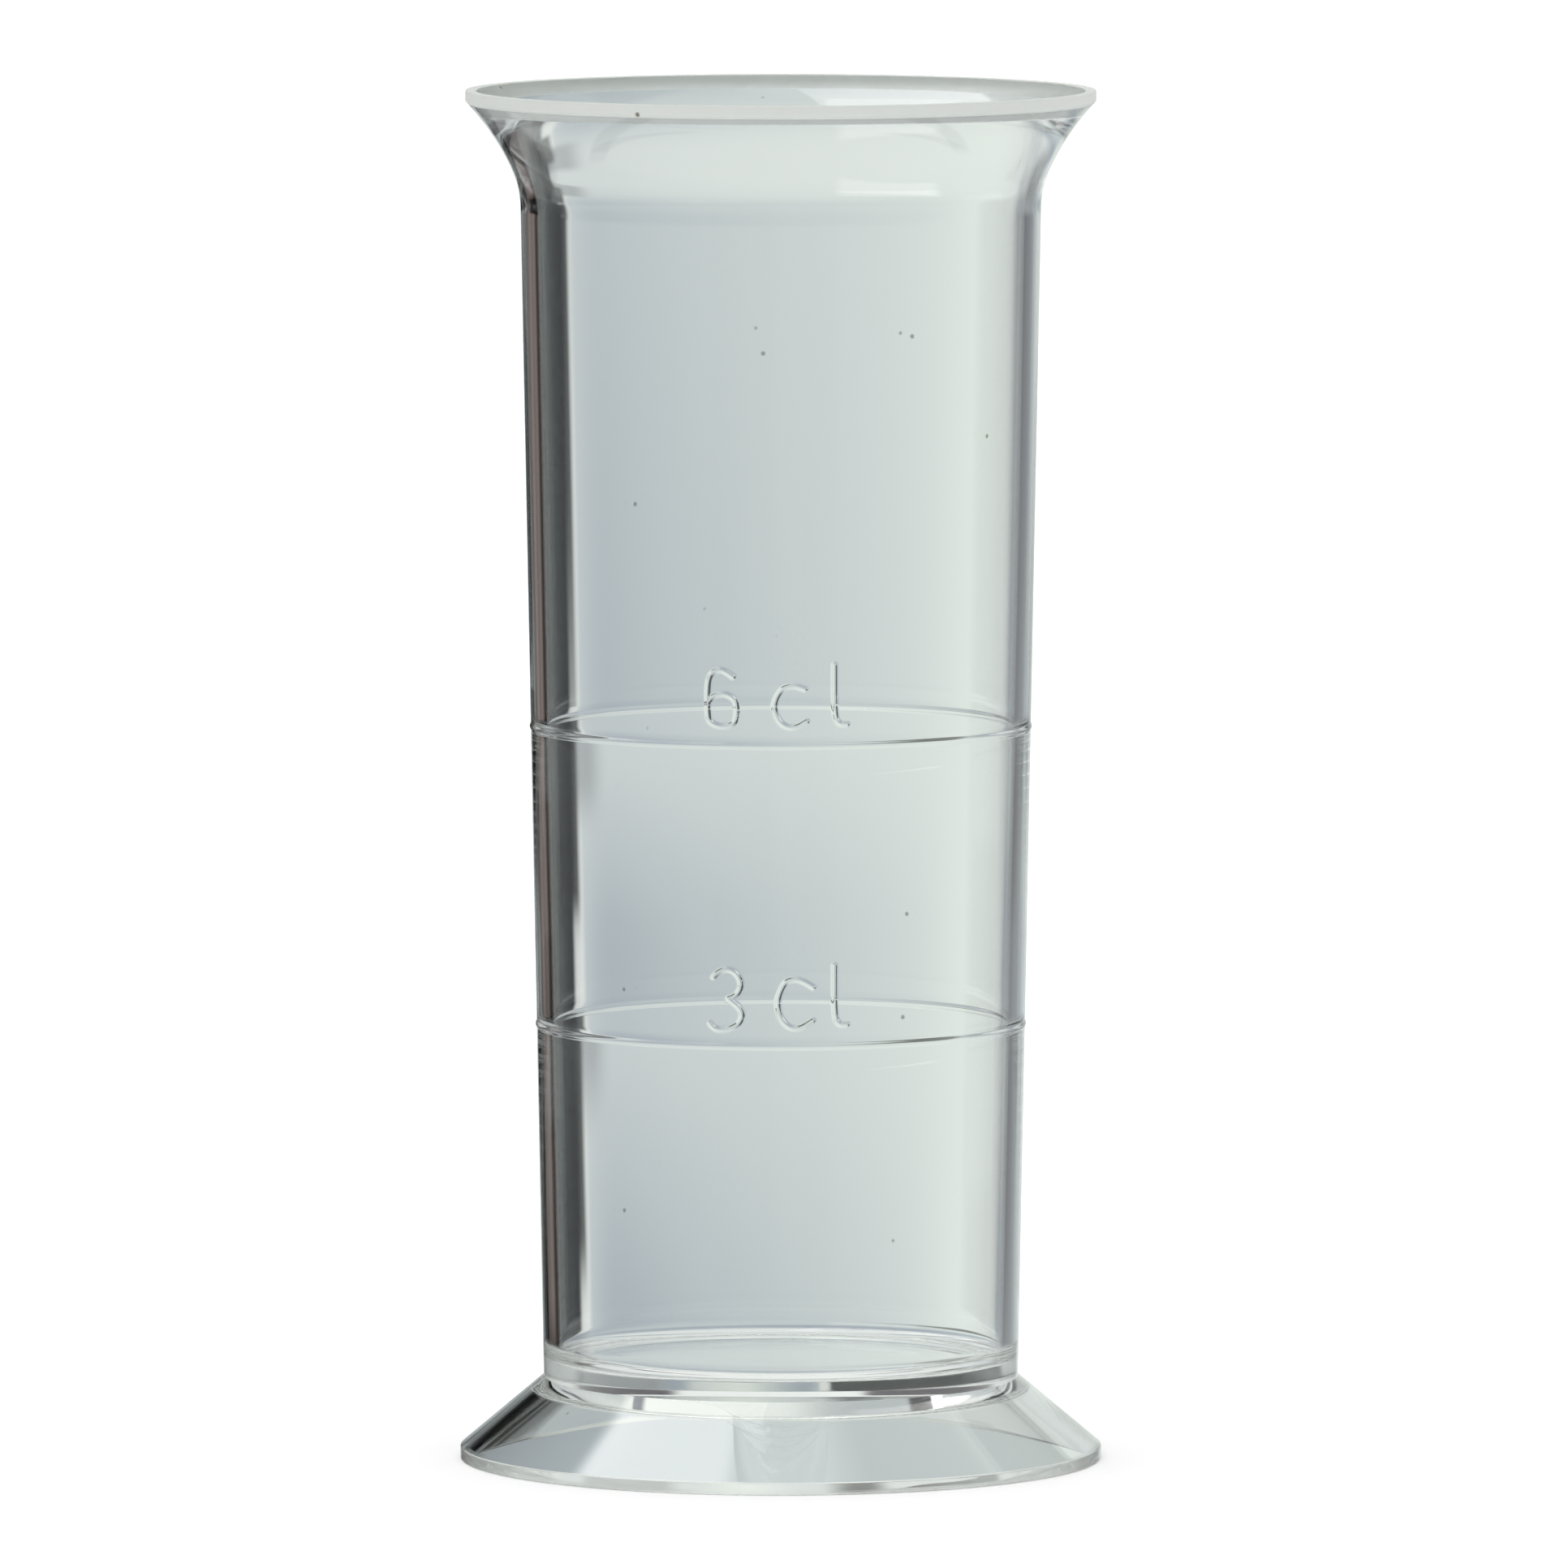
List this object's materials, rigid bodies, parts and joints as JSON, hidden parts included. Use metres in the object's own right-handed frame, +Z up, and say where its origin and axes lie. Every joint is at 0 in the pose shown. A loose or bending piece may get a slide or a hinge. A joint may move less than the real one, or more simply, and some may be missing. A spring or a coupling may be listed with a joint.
{
  "type": "measuring glass",
  "caption": "Clear footed spirit measure: a tapered tube with a flared lip and raised capacity rings, on a hollow conical foot.",
  "frame": {"origin": "centre of the circle that the foot stands on", "axes": "+Z up along the axis of the tube; -Y towards the capacity numerals and the picture's viewer, +X to that viewer's right"},
  "size_m": [0.0542, 0.0542, 0.1157],
  "materials": {
    "tube_clear": "clear, moulded, polished",
    "foot_clear": "clear, moulded, polished"
  },
  "bodies": {
    "root": {"measuring_tube": "tube_clear", "foot": "foot_clear"}
  },
  "joints": []
}
